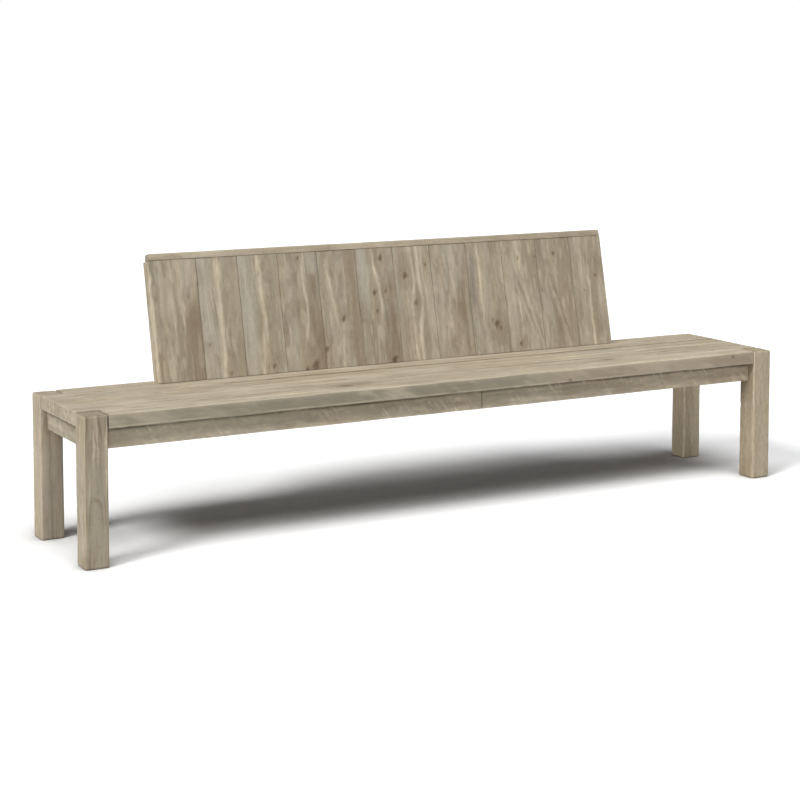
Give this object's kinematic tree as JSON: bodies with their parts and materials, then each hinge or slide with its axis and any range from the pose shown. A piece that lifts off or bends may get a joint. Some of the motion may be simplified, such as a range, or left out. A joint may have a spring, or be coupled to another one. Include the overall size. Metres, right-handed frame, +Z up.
{
  "type": "wooden bench",
  "caption": "Long weathered wooden bench with square corner posts, a boarded seat on aprons and a shorter leaning back of upright boards under a cap board.",
  "frame": {"origin": "on the floor, at the middle of the bench's overall box in plan", "axes": "+X along the bench towards its right end as one sits on it facing -Y, -Y towards the front, +Z up"},
  "size_m": [2.52, 0.533, 0.8519],
  "materials": {
    "seat_wood": "unfinished softwood, weathered, warm grey-tan",
    "frame_wood": "unfinished softwood, weathered, grey-brown, rough-sawn on the aprons",
    "back_wood": "unfinished reclaimed softwood boards of mixed tan and grey tones",
    "zinc_steel": "dull zinc plating"
  },
  "bodies": {
    "root": {"post_front_left": "frame_wood", "post_front_right": "frame_wood", "post_rear_left": "frame_wood", "post_rear_right": "frame_wood", "apron_front_left": "frame_wood", "apron_front_right": "frame_wood", "apron_end_left": "frame_wood", "apron_end_right": "frame_wood", "apron_rear": "frame_wood", "apron_splice": "frame_wood", "bearer_1": "frame_wood", "bearer_2": "frame_wood", "bearer_3": "frame_wood", "bearer_4": "frame_wood", "seat_board_1": "seat_wood", "seat_board_2": "seat_wood", "seat_board_3": "seat_wood", "back_upright_left": "frame_wood", "back_upright_middle": "frame_wood", "back_upright_right": "frame_wood", "back_rail_bottom_left": "frame_wood", "back_rail_bottom_right": "frame_wood", "back_rail_top_left": "frame_wood", "back_rail_top_right": "frame_wood", "back_board_01": "back_wood", "back_board_02": "back_wood", "back_board_03": "back_wood", "back_board_04": "back_wood", "back_board_05": "back_wood", "back_board_06": "back_wood", "back_board_07": "back_wood", "back_board_08": "back_wood", "back_board_09": "back_wood", "back_board_10": "back_wood", "back_board_11": "back_wood", "back_board_12": "back_wood", "back_cap": "back_wood", "coach_bolt_left_lower": "zinc_steel", "coach_bolt_left_upper": "zinc_steel", "coach_bolt_middle_lower": "zinc_steel", "coach_bolt_middle_upper": "zinc_steel", "coach_bolt_right_lower": "zinc_steel", "coach_bolt_right_upper": "zinc_steel", "flange_nut_left_lower": "zinc_steel", "flange_nut_left_upper": "zinc_steel", "flange_nut_middle_lower": "zinc_steel", "flange_nut_middle_upper": "zinc_steel", "flange_nut_right_lower": "zinc_steel", "flange_nut_right_upper": "zinc_steel"}
  },
  "joints": []
}
